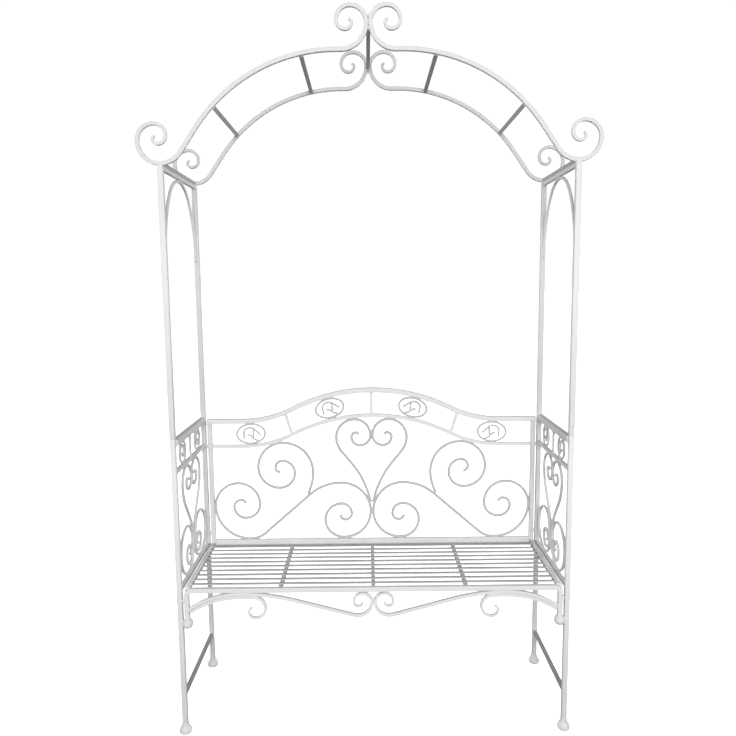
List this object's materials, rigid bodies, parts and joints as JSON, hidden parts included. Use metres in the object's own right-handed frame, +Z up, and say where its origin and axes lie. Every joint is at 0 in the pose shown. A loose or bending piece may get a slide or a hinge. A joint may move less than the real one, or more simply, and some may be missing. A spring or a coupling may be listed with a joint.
{
  "type": "garden arch with bench",
  "caption": "Scrolled white metal garden arch on square posts, with a slatted bench, open side panels and an arched scroll back.",
  "frame": {"origin": "on the ground, in the middle of the four feet", "axes": "+X to the sitter's left, which is the viewer's right when facing the seat; +Y from the open front to the back panel; +Z up"},
  "size_m": [1.3152, 0.4088, 2.1491],
  "materials": {
    "white_paint": "smooth satin white powder coat on steel",
    "zinc_steel": "zinc plated steel, dull, hidden inside the joints"
  },
  "bodies": {
    "root": {"lower_post_front_left": "white_paint", "lower_post_front_right": "white_paint", "lower_post_back_left": "white_paint", "lower_post_back_right": "white_paint", "upper_post_front_left": "white_paint", "upper_post_front_right": "white_paint", "upper_post_back_left": "white_paint", "upper_post_back_right": "white_paint", "feet": "white_paint", "post_joiners": "zinc_steel", "arm_rest_left": "white_paint", "arm_rest_right": "white_paint", "arm_rails": "white_paint", "stretchers": "white_paint", "side_rail_left": "white_paint", "side_rail_right": "white_paint", "top_rail_left": "white_paint", "top_rail_right": "white_paint", "side_scroll_front_left": "white_paint", "side_scroll_front_right": "white_paint", "side_scroll_back_left": "white_paint", "side_scroll_back_right": "white_paint", "arm_rings_left": "white_paint", "arm_rings_right": "white_paint", "window_rod_left": "white_paint", "window_rod_right": "white_paint", "arch_bar_front_left": "white_paint", "arch_bar_front_right": "white_paint", "arch_bar_back_left": "white_paint", "arch_bar_back_right": "white_paint", "arch_base_left": "white_paint", "arch_base_right": "white_paint", "arch_rungs": "white_paint", "arch_centre_bar": "white_paint", "seat_front_rail": "white_paint", "leg_cups": "white_paint", "seat_side_rails": "white_paint", "seat_back_rail": "white_paint", "slat_bearers": "white_paint", "seat_slats": "white_paint", "apron_long_left": "white_paint", "apron_long_right": "white_paint", "apron_short_left": "white_paint", "apron_short_right": "white_paint", "back_upright_left": "white_paint", "back_upright_right": "white_paint", "back_top_rail": "white_paint", "back_mid_rail": "white_paint", "back_low_rail": "white_paint", "back_band_bars": "white_paint", "back_rings": "white_paint", "back_heart": "white_paint", "s_scroll_left": "white_paint", "s_scroll_right": "white_paint", "c_scroll_left": "white_paint", "c_scroll_right": "white_paint", "bolts": "white_paint", "threaded_inserts": "zinc_steel", "spacers": "white_paint"}
  },
  "joints": []
}
